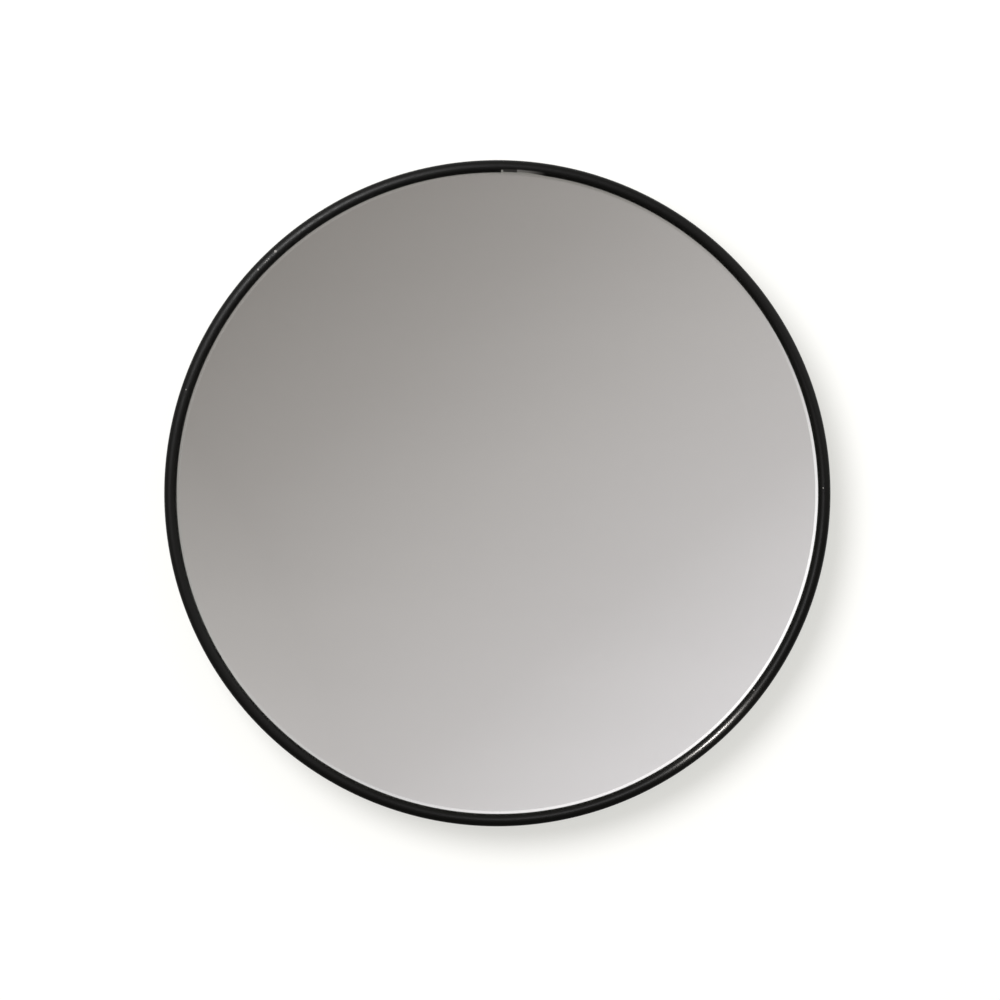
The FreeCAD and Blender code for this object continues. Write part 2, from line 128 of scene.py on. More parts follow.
def swept(profile, angles):
    """Grid of points (r cos a, -h, r sin a) for each (r, h) of a profile and each angle a."""
    radius, height = profile[:, :1], profile[:, 1:]
    height = height * np.ones_like(angles)
    return np.stack([radius * np.cos(angles), -height, radius * np.sin(angles)], -1)


def turned(name, profile, steps=360):
    """Piece made by one full turn of a profile."""
    points = swept(profile, np.linspace(0, 2 * np.pi, steps + 1))
    return new_piece(name, points, grid_faces(*points.shape[:2]))


# %% [markdown]
# ## The black rim
# The rim is a plastic ring with a half-round bead and a lip over the glass. Right of the top the
# moulding gate was trimmed off by hand, which left a nick, a shaved flat and a scoop in the lip. The
# sweep gets that mark by pushing the points of the lip outwards, to a radius that changes with the
# angle. The inside of the skirt keeps its groove for the snap beads of the back.

# %% rim
RIM_STEPS = 540
BEAD_POINTS = 37
WALL_POINTS = 6
BEAD_RADIUS = 0.0014
LIP_LAND = 0.0003
SKIRT = 0.0015
LEAD_IN = 0.0004
SEAM_CHAMFER = 0.00025
GROOVE_DEPTH = 0.00035
GROOVE_MIDDLE = SEAM + 0.0014
GROOVE_HALF = np.array([0.0006, 0.0004])
# The gate mark: distances along the lip from the top, and how deep it cuts at each.
GATE_AT = MM * np.array([0.83, 0.85, 1.3, 1.32, 4.45, 4.47, 6.95, 10.8])
GATE_CUT = MM * np.array([0, 0.6, 0.6, 0.15, 0.15, 0.3, 0.3, 0])

bead_foot = RIM_FRONT - BEAD_RADIUS
lip = RIM_RADIUS - 2 * BEAD_RADIUS
bore = RIM_RADIUS - SKIRT
lip_seat = bead_foot - LIP_LAND
bore_seat = lip_seat - BEVEL_DROP / BEVEL_WIDTH * (bore - lip)
groove = bore + GROOVE_DEPTH
groove_top, groove_roof = GROOVE_MIDDLE + GROOVE_HALF
groove_foot, groove_floor = GROOVE_MIDDLE - GROOVE_HALF
rim_profile = np.vstack([
    line((bore + LEAD_IN, SEAM), (RIM_RADIUS - SEAM_CHAMFER, SEAM)),
    line((RIM_RADIUS, SEAM + SEAM_CHAMFER), (RIM_RADIUS, lip_seat), WALL_POINTS),
    arc((RIM_RADIUS - BEAD_RADIUS, bead_foot), BEAD_RADIUS, 0, 180, BEAD_POINTS),
    line((lip, lip_seat), (bore, bore_seat)),
    line((bore, groove_top), (groove, groove_roof)),
    line((groove, groove_floor), (bore, groove_foot)),
    line((bore, SEAM + LEAD_IN), (bore + LEAD_IN, SEAM)),
])
around = np.union1d(np.linspace(0, 2 * np.pi, RIM_STEPS + 1), np.pi / 2 - GATE_AT / lip)
rim_grid = swept(rim_profile, around)
lip_edge = lip + np.interp((np.pi / 2 - around) * lip, GATE_AT, GATE_CUT)
pushed = np.maximum(lip_edge / np.hypot(rim_grid[..., 0], rim_grid[..., 2]), 1)
rim_grid[..., [0, 2]] *= pushed[..., None]
rim = new_piece("rim", rim_grid, grid_faces(*rim_grid.shape[:2]))
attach(rim, "mirror")
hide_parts("front_rim")

# %% [markdown]
# ## The glass and its silver
# The glass is a bowl between two spheres about one centre, far out in front of the mirror, and its rim
# is ground to a narrow bevel. A single shiny disc would reflect as well, but only real glass in front
# of a separate silver layer shows the bevel as the thin bright line that frames the picture in the
# mirror.


# %% glass and silver
def ball_height(radius, ball):
    """Height of a ball's near side at a distance from the axis: centre - sqrt(ball^2 - radius^2)."""
    return ball_centre - np.sqrt(ball**2 - radius**2)


def bowl(inner, outer, ball, count):
    """Profile points on a ball between two distances from the axis."""
    radius = np.linspace(inner, outer, count)
    return np.stack([radius, ball_height(radius, ball)], -1)


bevel_start = GLASS_RADIUS - BEVEL_WIDTH
bevel_top = ball_height(bevel_start, BALL_RADIUS)
glass = turned("glass", np.vstack([
    bowl(0, bevel_start, BALL_RADIUS, BOWL_POINTS),
    line((bevel_start, bevel_top), (GLASS_RADIUS, bevel_top - BEVEL_DROP), 3)[1:],
    bowl(GLASS_RADIUS, 0, BALL_RADIUS + GLASS_THICKNESS, BOWL_POINTS),
]))
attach(glass, "mirror")
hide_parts("mirror_glass")

silver_ball = BALL_RADIUS + GLASS_THICKNESS + GLUE_THICKNESS
silver = turned("silver", np.vstack([
    bowl(0, GLASS_RADIUS, silver_ball, BOWL_POINTS),
    bowl(GLASS_RADIUS, 0, silver_ball + SILVER_THICKNESS, BOWL_POINTS),
]))
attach(silver, "mirror")
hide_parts("silver_backing")

# %% [markdown]
# ## The foams behind the glass
# Two soft pieces carry the glass: a ring behind its edge and a disc behind its middle. They are flat
# where they rest on the back, follow the curve of the silver in front and, being squeezed, swell at
# their free sides.


# %% foams
def swollen(start, end, depth, count=9):
    """Side from start to end that swells outwards: a straight line plus depth (1 - (2 t - 1)^2)."""
    t = np.linspace(0, 1, count)[:, None]
    return line(start, end, count) + np.array([depth, 0]) * (1 - (2 * t - 1) ** 2)


def foam(name, cad_node, inner, swell):
    """Foam between the flat back and the silver, from an inner radius to the edge of its CAD node."""
    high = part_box(cad_node)[1]
    foot, outer = -high.y, high.x - swell
    crown = ball_height(outer, foam_ball)
    profile = [
        line((inner, foot), (outer, foot), FOAM_POINTS),
        swollen((outer, foot), (outer, crown), swell),
        bowl(outer, inner, foam_ball, FOAM_POINTS),
    ]
    if inner > 0:
        profile.append(swollen((inner, ball_height(inner, foam_ball)), (inner, foot), -swell))
    made = turned(name, np.vstack(profile))
    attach(made, "mirror")
    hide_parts(cad_node)
    return made


FOAM_POINTS = 12
FOAM_SWELL = 0.00015
FOAM_RING_INNER = 0.07195
foam_ball = silver_ball + SILVER_THICKNESS + GLUE_THICKNESS
foams = [
    foam("edge_foam", "foam_ring", FOAM_RING_INNER + FOAM_SWELL, FOAM_SWELL),
    foam("middle_foam", "centre_foam_pad", 0.0, FOAM_SWELL),
]

# %% [markdown]
# ## Node trees in a few words
# Every finish below is a small node tree. `feed` sets the inputs of a node, where an input is either a
# value or the output of another node, and `node` adds a node and feeds it. The other helpers wrap the
# few kinds of node that come back all the time: sums, ranges, mixed colours, ramps and bumps.


# %% node helpers
# Numbers of the colour sockets of a Mix node: two inputs and the output.
FIRST_COLOUR, SECOND_COLOUR, MIXED_COLOUR = 6, 7, 2
# Sums with vectors that give one number.
ONE_NUMBER = ("LENGTH", "DISTANCE", "DOT_PRODUCT")


def feed(tree, made, inputs):
    """Sets or links inputs of a node."""
    for key, content in inputs.items():
        if isinstance(content, bpy.types.NodeSocket):
            tree.links.new(content, made.inputs[key])
        else:
            made.inputs[key].default_value = content


def node(tree, kind, inputs=None, **settings):
    """New node of a kind, with its settings and with its inputs set or linked."""
    made = tree.nodes.new(kind)
    for setting, content in settings.items():
        setattr(made, setting, content)
    feed(tree, made, inputs or {})
    return made


def maths(tree, operation, *inputs):
    """Result of a sum with one to three numbers."""
    return node(tree, "ShaderNodeMath", dict(enumerate(inputs)), operation=operation).outputs[0]


def vector_maths(tree, operation, *inputs):
    """Result of a sum with vectors: a number for a length, a distance or a dot product, else a vector."""
    made = node(tree, "ShaderNodeVectorMath", dict(enumerate(inputs)), operation=operation)
    return made.outputs["Value" if operation in ONE_NUMBER else "Vector"]


def mapped(tree, value, start, end, at_start=0.0, at_end=1.0):
    """Number that goes from at_start to at_end while a value goes from start to end, and not beyond."""
    made = node(tree, "ShaderNodeMapRange", {
        "Value": value,
        "From Min": start,
        "From Max": end,
        "To Min": at_start,
        "To Max": at_end,
    })
    return made.outputs["Result"]


def mixed(tree, factor, first, second):
    """Colour between two, by a factor from 0 to 1."""
    inputs = {"Factor": factor, FIRST_COLOUR: first, SECOND_COLOUR: second}
    return node(tree, "ShaderNodeMix", inputs, data_type="RGBA").outputs[MIXED_COLOUR]


def ramped(tree, factor, stops):
    """Colour that runs through (position, colour) stops as a factor goes from 0 to 1."""
    made = node(tree, "ShaderNodeValToRGB", {"Fac": factor})
    elements = made.color_ramp.elements
    for number, (position, tone) in enumerate(stops):
        stop = elements[number] if number < 2 else elements.new(1.0)
        stop.position = position
        stop.color = (*tone, 1)
    return made.outputs["Color"]


def bumped(tree, height, depth):
    """Normal of a face with a relief: a height from 0 to 1 times a depth in metres."""
    return node(tree, "ShaderNodeBump", {"Height": height, "Distance": depth}).outputs["Normal"]


def object_place(tree):
    """Place on the piece, which stays with it when it moves."""
    return node(tree, "ShaderNodeTexCoord").outputs["Object"]


def parts_of(tree, vector):
    """The X, Y and Z of a vector."""
    return node(tree, "ShaderNodeSeparateXYZ", {"Vector": vector}).outputs


# %% [markdown]
# ## Groups and materials
# An effect that several finishes share is a group with its own inputs and outputs. A finish is a
# material with one Principled shader, and each piece wears one finish.


# %% groups and materials
def new_group(name, inputs, outputs):
    """Empty shader group with named numbers: its tree, its inputs and its output node."""
    tree = bpy.data.node_groups.new(name, "ShaderNodeTree")
    for side, labels in (("INPUT", inputs), ("OUTPUT", outputs)):
        for label in labels:
            tree.interface.new_socket(label, in_out=side, socket_type="NodeSocketFloat")
    return tree, tree.nodes.new("NodeGroupInput").outputs, tree.nodes.new("NodeGroupOutput")


def new_material(name):
    """Material with a bare Principled shader: the material, its tree and the shader."""
    material = bpy.data.materials.new(name)
    material.use_nodes = True
    return material, material.node_tree, material.node_tree.nodes["Principled BSDF"]


def dress(piece, material):
    """Gives a piece one material."""
    piece.data.materials.clear()
    piece.data.materials.append(material)


def dress_node(name, material):
    """Gives a node of the frame one material, in the slot that it came with."""
    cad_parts[name].material_slots[0].material = material


# %% [markdown]
# ## Effects that several finishes share
# No moulded face is perfectly even. `moulded_skin` gives a slow drift of gloss and a fine relief,
# `dust` gives a few specks a tenth of a millimetre wide. Both read Object coordinates, so they stay
# with the piece when it moves, and both only put out values: the shader itself stays in each material.

# %% shared effects
DRIFT_LOW, DRIFT_HIGH = 0.3, 0.7
skin, skin_in, skin_out = new_group(
    "moulded_skin",
    ["Drift Scale", "Grain Scale", "Smooth", "Rough"],
    ["Roughness", "Relief"],
)
place = object_place(skin)
drift = node(skin, "ShaderNodeTexNoise", {"Vector": place, "Scale": skin_in["Drift Scale"], "Detail": 3.0})
grain = node(skin, "ShaderNodeTexNoise", {"Vector": place, "Scale": skin_in["Grain Scale"], "Detail": 2.0})
feed(skin, skin_out, {
    "Roughness": mapped(
        skin, drift.outputs["Fac"], DRIFT_LOW, DRIFT_HIGH, skin_in["Smooth"], skin_in["Rough"]
    ),
    "Relief": grain.outputs["Fac"],
})

dust, dust_in, dust_out = new_group("dust", ["Spread", "Share", "Size"], ["Mask"])
cells = node(dust, "ShaderNodeTexVoronoi", {"Vector": object_place(dust), "Scale": dust_in["Spread"]})
lot = node(dust, "ShaderNodeSeparateColor", {"Color": cells.outputs["Color"]}).outputs["Red"]
chosen = maths(dust, "LESS_THAN", lot, dust_in["Share"])
near = maths(dust, "LESS_THAN", cells.outputs["Distance"], dust_in["Size"])
feed(dust, dust_out, {"Mask": maths(dust, "MULTIPLY", chosen, near)})


def moulded_skin(tree, drift_scale, grain_scale, smooth, rough):
    """The shared skin with one material's own values: its roughness and its relief."""
    values = {"Drift Scale": drift_scale, "Grain Scale": grain_scale, "Smooth": smooth, "Rough": rough}
    made = node(tree, "ShaderNodeGroup", values, node_tree=skin)
    return made.outputs["Roughness"], made.outputs["Relief"]


def dust_specks(tree, spread, share, size):
    """The shared dust with one material's own values: its mask."""
    values = {"Spread": spread, "Share": share, "Size": size}
    return node(tree, "ShaderNodeGroup", values, node_tree=dust).outputs["Mask"]


print("groups:", [group.name for group in bpy.data.node_groups])

# %% [markdown]
# ## Gloss black for the rim
# The rim is gloss black plastic: almost no colour of its own, so all that shows is what it mirrors. Its
# mould was polished on a lathe, so the finest marks run around the ring, and a lamp smears across the
# bead rather than along it. The ring is handled most at its upper left. There the gloss is duller, the
# marks are partly worn off, and the streak of light is broad and uneven. The lower right has kept its
# polish and shows a lamp as a short white line. Right of the top, along the gate mark, the base colour
# turns grey and the gloss matte, and a few specks of dust and lint catch the light.

# %% rim finish
# Each grain of lint as x, z and radius.
LINT = [
    (-0.0499, 0.0544, 0.00030),
    (-0.0514, 0.0527, 0.00013),
    (-0.0518, 0.0523, 0.00014),
    (-0.0522, 0.0519, 0.00012),
    (-0.0538, 0.0503, 0.00020),
    (-0.0700, 0.0233, 0.00012),
]
# How grey the base colour turns along the gate mark at each GATE_AT, and where that fades across the bead.
GATE_GREY = [0, 0.15, 0.15, 0.16, 0.16, 0.95, 0.65, 0]
GATE_FADES = (lip + 0.0004, lip + 0.0008)

RIM_BLACK = (0.0008, 0.0008, 0.0007, 1)
LINT_GREY = (0.22, 0.21, 0.20, 1)
GATE_MARK_GREY = (0.27, 0.26, 0.25, 1)
SHAVED_ROUGHNESS = 0.5
POLISHED_ROUGHNESS, HANDLED_ROUGHNESS = 0.195, 0.31
FULL_MARKS, WORN_MARKS = 1.0, 0.80
UPPER_LEFT = (-0.707, 0, 0.707)
QUARTER_TURN = 0.25
rim_black, tree, shader = new_material("rim_gloss_black")
place = object_place(tree)
flat = vector_maths(tree, "MULTIPLY", place, (1, 0, 1))
where = parts_of(tree, place)
along_lip = mapped(tree, where["X"], 0.0, GATE_AT[-1])
# The base colour turns grey along the gate mark, by a ramp along the lip.
gate_grey_ramp = ramped(tree, along_lip, [(at / GATE_AT[-1], [grey] * 3) for at, grey in zip(GATE_AT, GATE_GREY)])
near_lip = mapped(tree, vector_maths(tree, "LENGTH", flat), *GATE_FADES, at_start=1.0, at_end=0.0)
upper = maths(tree, "GREATER_THAN", where["Z"], 0.0)
gate_grey = maths(tree, "MULTIPLY", gate_grey_ramp, maths(tree, "MULTIPLY", near_lip, upper))

dusty = dust_specks(tree, spread=260.0, share=0.05, size=0.05)
for x, z, size in LINT:
    away = vector_maths(tree, "DISTANCE", flat, (x, 0, z))
    dusty = maths(tree, "MAXIMUM", dusty, maths(tree, "LESS_THAN", away, size))
speckled = mixed(tree, dusty, RIM_BLACK, LINT_GREY)

blotches, relief = moulded_skin(tree, drift_scale=560.0, grain_scale=650.0, smooth=0.0, rough=0.10)
handled = mapped(tree, vector_maths(tree, "DOT_PRODUCT", place, UPPER_LEFT), -RIM_RADIUS, RIM_RADIUS)
dulled = mapped(tree, handled, 0.0, 1.0, POLISHED_ROUGHNESS, HANDLED_ROUGHNESS)
worn = maths(tree, "MULTIPLY_ADD", blotches, handled, dulled)
marks = mapped(tree, handled, 0.0, 1.0, FULL_MARKS, WORN_MARKS)
feed(tree, shader, {
    "Base Color": mixed(tree, gate_grey, speckled, GATE_MARK_GREY),
    "Roughness": maths(tree, "MULTIPLY_ADD", gate_grey, SHAVED_ROUGHNESS, worn),
    "IOR": 1.5,
    "Specular IOR Level": 0.28,
    "Anisotropic": maths(tree, "MAXIMUM", maths(tree, "SUBTRACT", marks, gate_grey), 0.0),
    "Anisotropic Rotation": QUARTER_TURN,
    "Tangent": vector_maths(tree, "CROSS_PRODUCT", place, (0, 1, 0)),
    "Normal": bumped(tree, maths(tree, "MULTIPLY", relief, handled), depth=0.000004),
})
dress(rim, rim_black)
print(f"rim finish: {len(tree.nodes)} nodes")

# %% [markdown]
# ## Clear glass
# The glass only bends and mirrors light, a trace less where a cloth has wiped it. Its bevel is a prism:
# it looks far out to the side, past the middle of the room, and so shows as a line that is bright where
# the bright side of the room lies across from it. The bevel is ground a little less smooth than the
# face.

# %% glass finish
GLASS_IOR = 1.52
GLASS_CLEAR = (0.995, 1, 0.995, 1)
GLASS_HAZY = (0.975, 0.98, 0.975, 1)
GROUND_TONE = (0.92, 0.94, 0.93, 1)
WIPE_ANGLE = 0.6
WIPE_SCALE = (9, 9, 60)
clear_glass, tree, shader = new_material("clear_glass")
wiped = node(tree, "ShaderNodeMapping", {
    "Vector": object_place(tree),
    "Rotation": (0, WIPE_ANGLE, 0),
    "Scale": WIPE_SCALE,
})
smear = node(tree, "ShaderNodeTexNoise", {"Vector": wiped.outputs["Vector"], "Scale": 1.0, "Detail": 4.0})
feed(tree, shader, {
    "Base Color": mixed(tree, smear.outputs["Fac"], GLASS_CLEAR, GLASS_HAZY),
    "Roughness": 0.0,
    "IOR": GLASS_IOR,
    "Transmission Weight": 1.0,
})
dress(glass, clear_glass)

ground_glass, tree, shader = new_material("ground_glass")
ground, relief = moulded_skin(tree, drift_scale=900.0, grain_scale=9000.0, smooth=0.18, rough=0.26)
feed(tree, shader, {
    "Base Color": GROUND_TONE,
    "Roughness": ground,
    "IOR": GLASS_IOR,
    "Transmission Weight": 1.0,
    "Normal": bumped(tree, relief, depth=0.000002),
})
glass.data.materials.append(ground_glass)
middles = np.empty(3 * len(glass.data.polygons))
facing = np.empty(3 * len(glass.data.polygons))
glass.data.polygons.foreach_get("center", middles)
glass.data.polygons.foreach_get("normal", facing)
middle_radius = np.hypot(middles[0::3], middles[2::3])
points_back = facing[1::3] > 0.5
on_bevel = (middle_radius > bevel_start) & ~points_back
glass.data.polygons.foreach_set("material_index", on_bevel.astype(np.int32))
print("ground faces:", int(on_bevel.sum()))

# %% [markdown]
# ## Silver and paint
# Behind the glass lies a layer of silver, and the back of that layer is covered by a grey protective
# paint. One material does both, by the direction in which the face points.

# %% silver finish
SILVER_TONE = (0.95, 0.945, 0.945, 1)
PAINT_DARK = (0.19, 0.20, 0.21, 1)
PAINT_PALE = (0.25, 0.26, 0.27, 1)
silver_paint, tree, shader = new_material("silver")
backward = parts_of(tree, node(tree, "ShaderNodeTexCoord").outputs["Normal"])["Y"]
painted = maths(tree, "GREATER_THAN", backward, 0.0)
rough, relief = moulded_skin(tree, drift_scale=60.0, grain_scale=2500.0, smooth=0.5, rough=0.7)
feed(tree, shader, {
    "Base Color": mixed(tree, painted, SILVER_TONE, mixed(tree, relief, PAINT_DARK, PAINT_PALE)),
    "Metallic": maths(tree, "SUBTRACT", 1.0, painted),
    "Roughness": maths(tree, "MULTIPLY", painted, rough),
})
dress(silver, silver_paint)
print(f"silver finish: {len(tree.nodes)} nodes")

# %% [markdown]
# ## Grey foam
# The foam is grey and full of closed cells, a third of a millimetre wide. The pit of each cell is
# painted darker than its walls, as painted shade.

# %% foam finish
FOAM_PIT_SHADE = (0.13, 0.13, 0.135, 1)
FOAM_PALE = (0.25, 0.25, 0.26, 1)
CELLS_PER_METRE = 2800.0
CELL_FLOOR, CELL_TOP = 0.1, 0.6
grey_foam, tree, shader = new_material("grey_foam")
cells = node(tree, "ShaderNodeTexVoronoi", {"Vector": object_place(tree), "Scale": CELLS_PER_METRE})
cell_height_and_shade = mapped(tree, cells.outputs["Distance"], CELL_FLOOR, CELL_TOP)
rough, relief = moulded_skin(tree, drift_scale=140.0, grain_scale=5000.0, smooth=0.85, rough=0.98)
feed(tree, shader, {
    # Painted shade: the colour runs from dark at the bottom of each pit to pale on the cell walls.
    "Base Color": mixed(tree, cell_height_and_shade, FOAM_PIT_SHADE, FOAM_PALE),
    "Roughness": rough,
    "Normal": bumped(tree, cell_height_and_shade, depth=0.00006),
})
for piece in foams:
    dress(piece, grey_foam)
print(f"foam finish: {len(tree.nodes)} nodes")

# %% [markdown]
# ## Matte black for the back
# The back is moulded in matte black with a fine grain, and only the raised sockets, where the heads of
# the cups slide, are smooth.

# %% back finish
SOCKET_RISE = 0.001
SOCKET_SMOOTHER = -0.25
SHELL_DARK = (0.014, 0.014, 0.0135, 1)
SHELL_PALE = (0.026, 0.026, 0.025, 1)
SHELL_DUST = (0.2, 0.19, 0.18, 1)
shell_black, tree, shader = new_material("shell_black")
socket_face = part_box("back_shell")[1].y
towards_wall = parts_of(tree, object_place(tree))["Y"]
socket = maths(tree, "GREATER_THAN", towards_wall, socket_face - SOCKET_RISE / 2)
field = maths(tree, "SUBTRACT", 1.0, socket)
rough, relief = moulded_skin(tree, drift_scale=45.0, grain_scale=3600.0, smooth=0.40, rough=0.56)
dusty = dust_specks(tree, spread=200.0, share=0.06, size=0.06)
feed(tree, shader, {
    "Base Color": mixed(tree, dusty, mixed(tree, relief, SHELL_DARK, SHELL_PALE), SHELL_DUST),
    "Roughness": maths(tree, "MULTIPLY_ADD", socket, SOCKET_SMOOTHER, rough),
    "Normal": bumped(tree, maths(tree, "MULTIPLY", relief, field), depth=0.00005),
})
dress_node("back_shell", shell_black)
print(f"back finish: {len(tree.nodes)} nodes")

# %% [markdown]
# ## Clear cups
# The suction cups are soft clear plastic: a little cloudy, and never quite free of dust.

# %% cup finish
CUPS = [f"suction_cup_{side}" for side in ("top", "left", "right")]
CUP_CLOUDY = (0.86, 0.90, 0.90, 1)
CUP_CLEAR = (0.93, 0.95, 0.95, 1)
CUP_DUST = (0.45, 0.43, 0.40, 1)
clear_pvc, tree, shader = new_material("clear_pvc")
rough, relief = moulded_skin(tree, drift_scale=120.0, grain_scale=900.0, smooth=0.06, rough=0.14)
dusty = dust_specks(tree, spread=420.0, share=0.08, size=0.07)
feed(tree, shader, {
    "Base Color": mixed(tree, dusty, mixed(tree, relief, CUP_CLOUDY, CUP_CLEAR), CUP_DUST),
    "Roughness": rough,
    "IOR": 1.53,
    "Transmission Weight": 0.94,
    "Normal": bumped(tree, relief, depth=0.000015),
})
for name in CUPS:
    dress_node(name, clear_pvc)
print("finishes:", [material.name for material in bpy.data.materials])

# %% [markdown]
# ## The wall
# The mirror hangs on a plain white wall. Lit at a plain level, a white wall would come out pale grey,
# so its paint also glows a little: the open wall then just reaches pure white and only the shadow
# shows. The wall is seen by the camera alone. It throws no light and no shadow, and it is clear from
# behind, so that the back of the mirror can be looked at as well.

# %% wall
WALL_SIZE = 3.0
WALL_BEHIND = 0.0003
WALL_PAINT = (0.45, 0.45, 0.45, 1)
WALL_GLOW = (1, 1, 0.96, 1)
GLOW_STRENGTH = 0.565
corners = WALL_SIZE / 2 * np.array([(-1, 0, -1), (1, 0, -1), (1, 0, 1), (-1, 0, 1)])
wall_mesh = bpy.data.meshes.new("wall")
wall_mesh.from_pydata(corners + (0, WALL_BEHIND, 0), [], [[0, 1, 2, 3]])
wall = bpy.data.objects.new("wall", wall_mesh)
scene.collection.objects.link(wall)
wall.visible_shadow = False
wall.visible_diffuse = False
wall.visible_glossy = False
wall.visible_transmission = False

wall_white, tree, shader = new_material("wall_white")
tree.nodes.remove(shader)
paint = node(tree, "ShaderNodeBsdfDiffuse", {"Color": WALL_PAINT})
glow = node(tree, "ShaderNodeEmission", {"Color": WALL_GLOW, "Strength": GLOW_STRENGTH})
lit = node(tree, "ShaderNodeAddShader", {0: paint.outputs[0], 1: glow.outputs[0]})
clear = node(tree, "ShaderNodeBsdfTransparent")
behind = node(tree, "ShaderNodeNewGeometry").outputs["Backfacing"]
surface = node(tree, "ShaderNodeMixShader", {0: behind, 1: lit.outputs[0], 2: clear.outputs[0]})
feed(tree, tree.nodes["Material Output"], {"Surface": surface.outputs[0]})
dress(wall, wall_white)
print("wall normal:", tuple(wall_mesh.polygons[0].normal))

# %% [markdown]
# ## The room that the mirror sees
# A mirror shows the room behind the camera. Here that is a plain gradient, darker towards the lower
# right, because the concave glass turns the picture upside down. It is given as a brightness for each
# tilt, with a tint that is warm on the dark side. Three pale windows to the sides are too far out for
# the mirror, but the bevel and the bead catch them. The camera itself sees plain white past the wall.

# %% world
ROOM_TILT = (-0.623, 0.0, 0.782)
# Brightness for each tilt, which is the cosine of the angle to ROOM_TILT.
ROOM = [
    (-0.42, 0.27),
    (-0.30, 0.32),
    (-0.20, 0.245),
    (-0.16, 0.28),
    (-0.08, 0.365),
    (0.0, 0.475),
    (0.08, 0.565),
    (0.16, 0.73),
    (0.28, 1.05),
    (0.40, 1.25),
    (0.55, 1.30),
]
ROOM_EDGE = 0.16
DARK_TINT = (1.0, 0.94, 0.888)
PALE_TINT = (1.0, 0.97, 0.982)
FLOOR_SIDE = (0.13, 0.128, 0.115, 1)
CEILING_SIDE = (0.46, 0.45, 0.41, 1)
SIDES_FROM, SIDES_FULL = 0.35, 0.75
# Each window as the way to its middle, the cosine of the angle out to its edge, and its brightness.
WINDOWS = [
    ((-0.49, -0.86, 0.12), 0.93, 0.35),
    ((0.43, -0.88, 0.20), 0.93, 0.15),
    ((0.72, -0.56, 0.41), 0.85, 0.60),
]
REAR_LOW = (0.10, 0.10, 0.10, 1)
REAR_HIGH = (1.0, 1.0, 1.0, 1)
REAR_FULL = 0.4
OPEN_WHITE = (1, 1, 1, 1)


def room_tone(tilt, light):
    """Light times a tint, which goes from warm to neutral between the edges of what the mirror shows."""
    return [light * np.interp(tilt, (-ROOM_EDGE, ROOM_EDGE), ends) for ends in zip(DARK_TINT, PALE_TINT)]


world = bpy.data.worlds.new("room")
scene.world = world
world.use_nodes = True
tree = world.node_tree
direction = node(tree, "ShaderNodeTexCoord").outputs["Generated"]
parts = parts_of(tree, direction)
tilted = mapped(tree, vector_maths(tree, "DOT_PRODUCT", direction, ROOM_TILT), -1.0, 1.0)
ahead = ramped(tree, tilted, [((tilt + 1) / 2, room_tone(tilt, light)) for tilt, light in ROOM])
height = mapped(tree, parts["Z"], -1.0, 1.0)
sides = mixed(tree, height, FLOOR_SIDE, CEILING_SIDE)
aside = vector_maths(tree, "LENGTH", vector_maths(tree, "MULTIPLY", direction, (1, 0, 1)))
front = mixed(tree, mapped(tree, aside, SIDES_FROM, SIDES_FULL), ahead, sides)
for side, edge, gain in WINDOWS:
    window = mapped(tree, vector_maths(tree, "DOT_PRODUCT", direction, side), edge, 1.0, at_end=gain)
    front = vector_maths(tree, "ADD", front, window)
rear = mixed(tree, height, REAR_LOW, REAR_HIGH)
room = mixed(tree, mapped(tree, parts["Y"], 0.0, REAR_FULL), front, rear)
seen = node(tree, "ShaderNodeLightPath").outputs["Is Camera Ray"]
feed(tree, tree.nodes["Background"], {"Color": mixed(tree, seen, room, OPEN_WHITE), "Strength": 1.0})
print("room stops:", len(ROOM))

# %% [markdown]
# ## Lamps, made and aimed
# Every lamp stands at the same distance, at one angle off the camera's axis and another around it. A
# disc looks at the middle of the wall, a pin light at one point of the bead. Lamps are given by the
# brightness of their face, and their power follows from that and from their size. A lamp may be linked
# to a few pieces and then lights nothing else.


# %% lamp helpers
LAMP_DISTANCE = 1.5
UNSEEN = ["diffuse", "transmission"]


def lamp_place(off_axis, around):
    """Place at one angle off the camera's axis and another around it from +X, both in degrees."""
    off_axis, around = np.radians([off_axis, around])
    aside = np.sin(off_axis)
    return LAMP_DISTANCE * Vector((aside * np.cos(around), -np.cos(off_axis), aside * np.sin(around)))


def on_bead(around):
    """Point at the front of the bead, at an angle in degrees around the ring."""
    around = math.radians(around)
    radius = RIM_RADIUS - BEAD_RADIUS
    return Vector((radius * math.cos(around), -RIM_FRONT, radius * math.sin(around)))


def new_lamp(name, kind, place, watts, hidden_from=(), aim=(0, 0, 0)):
    """Lamp at a place that looks at a point, and that some kinds of rays don't see."""
    lamp = bpy.data.lights.new(name, kind)
    lamp.energy = watts
    made = bpy.data.objects.new(name, lamp)
    made.location = place
    made.rotation_euler = (place - Vector(aim)).to_track_quat("Z", "Y").to_euler()
    for rays in hidden_from:
        setattr(made, f"visible_{rays}", False)
    scene.collection.objects.link(made)
    print(f"{name}: {watts:.2f} W")
    return made


def disc_lamp(name, place, radius, radiance, hidden_from=()):
    """Round area lamp; its power is radiance x pi x area."""
    made = new_lamp(name, "AREA", place, radiance * math.pi * math.pi * radius**2, hidden_from)
    made.data.shape = "DISK"
    made.data.size = 2 * radius
    return made


def pin_lamp(name, place, radius, radiance, colour, aim, reach):
    """Spot lamp with a soft cone that reaches so far around its aim; its power is 4 pi radiance x area."""
    watts = 4 * math.pi * math.pi * radius**2 * radiance
    made = new_lamp(name, "SPOT", place, watts, UNSEEN, aim)
    made.data.color = colour
    made.data.shadow_soft_size = radius
    made.data.spot_size = 2 * math.atan(reach / (place - aim).length)
    made.data.spot_blend = 1.0
    return made


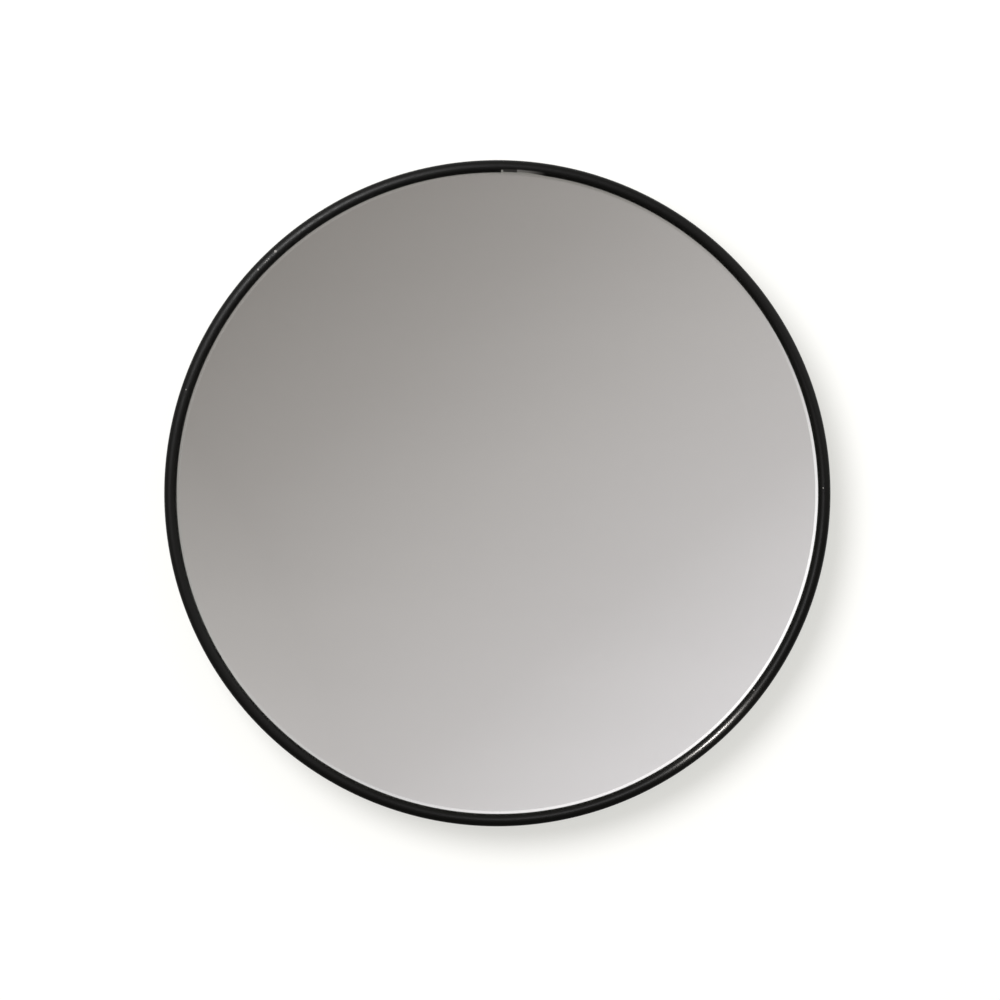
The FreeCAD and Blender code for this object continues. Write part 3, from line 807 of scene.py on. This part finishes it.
def shine_only_on(lamps, pieces):
    """Links lamps to a few pieces, so that nothing else is lit by them."""
    receivers = bpy.data.collections.new(f"lit by {lamps[0].name}")
    for piece in pieces:
        receivers.objects.link(piece)
    for lamp in lamps:
        lamp.light_linking.receiver_collection = receivers


# %% [markdown]
# ## Lamps
# One round softbox stands to the upper left of the camera and casts the soft shadow to the lower right.
# What the glossy rim mirrors is set apart from that, by three lamps that are linked to the rim alone: a
# small pin light gives the short white line at the lower right of the bead, a streak light gives the
# dull streak at its upper left, and a dim halo lets both fade out. A lamp behind the wall lights the
# back and the cups alone, for the views from behind.

# %% lamps
WARM = (1.0, 0.96, 0.91)
WHITE = (1.0, 1.0, 1.0)
OFF_AXIS = 14.5
disc_lamp("softbox", lamp_place(25, 135), radius=0.35, radiance=14.2, hidden_from=["glossy", "transmission"])
pin_light = pin_lamp(
    "pin_light",
    lamp_place(OFF_AXIS, 131),
    radius=0.012,
    radiance=9000.0,
    colour=WARM,
    aim=on_bead(-46.5),
    reach=0.0205,
)
streak_light = pin_lamp(
    "streak_light",
    lamp_place(OFF_AXIS, 128),
    radius=0.022,
    radiance=1150.0,
    colour=WHITE,
    aim=on_bead(128),
    reach=0.06,
)
halo = disc_lamp("halo", lamp_place(OFF_AXIS, 131.6), radius=0.30, radiance=2.0, hidden_from=UNSEEN)
shine_only_on([pin_light, streak_light, halo], [rim])
back_light = disc_lamp("back_light", lamp_place(140, 65), radius=0.35, radiance=12.0)
shine_only_on([back_light], [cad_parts[name] for name in ("back_shell", *CUPS)])

# %% [markdown]
# ## Camera
# A product shot like this is taken from far away with a long lens, so the ring hardly shows its sides.
# The focal length follows from the distance and from the share of the picture that the rim's radius
# fills. The mirror doesn't hang quite in the middle of the picture, so the camera stands a trace to the
# right and lower.

# %% camera
CAMERA_DISTANCE = 1.2
CAMERA_RIGHT = 0.0006
CAMERA_LOWER = 0.00153
RIM_SHARE = 0.33316
camera_data = bpy.data.cameras.new("camera")
camera_data.sensor_width = 36.0
camera_data.lens = camera_data.sensor_width * RIM_SHARE * (CAMERA_DISTANCE - bead_foot) / RIM_RADIUS
camera = bpy.data.objects.new("camera", camera_data)
camera.location = (CAMERA_RIGHT, -CAMERA_DISTANCE, -CAMERA_LOWER)
camera.rotation_euler = (math.pi / 2, 0, 0)
scene.collection.objects.link(camera)
scene.camera = camera
scene.view_settings.view_transform = "Standard"
print(f"lens {camera_data.lens:.1f} mm")
